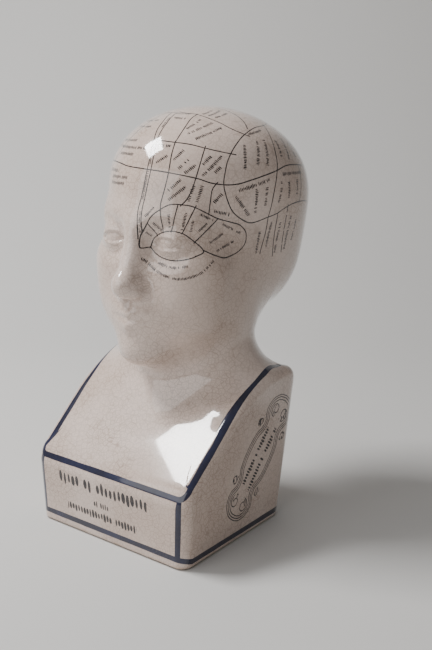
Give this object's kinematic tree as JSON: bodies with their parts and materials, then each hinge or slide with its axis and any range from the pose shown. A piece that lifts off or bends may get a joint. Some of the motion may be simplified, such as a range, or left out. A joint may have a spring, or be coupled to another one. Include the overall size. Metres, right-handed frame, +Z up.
{
  "type": "phrenology head",
  "caption": "Glazed pottery desk bust of a bald head on a wedge-shaped block, its scalp mapped with outlined regions, for display or as a paperweight.",
  "frame": {"origin": "middle of the block's foot, on the surface the bust stands on", "axes": "+Z up to the crown, the face looks along -Y, +X to the bust's left"},
  "size_m": [0.1374, 0.1773, 0.2827],
  "materials": {
    "glaze": "off-white crackle glaze, glossy"
  },
  "bodies": {
    "root": {"bust": "glaze"}
  },
  "joints": []
}
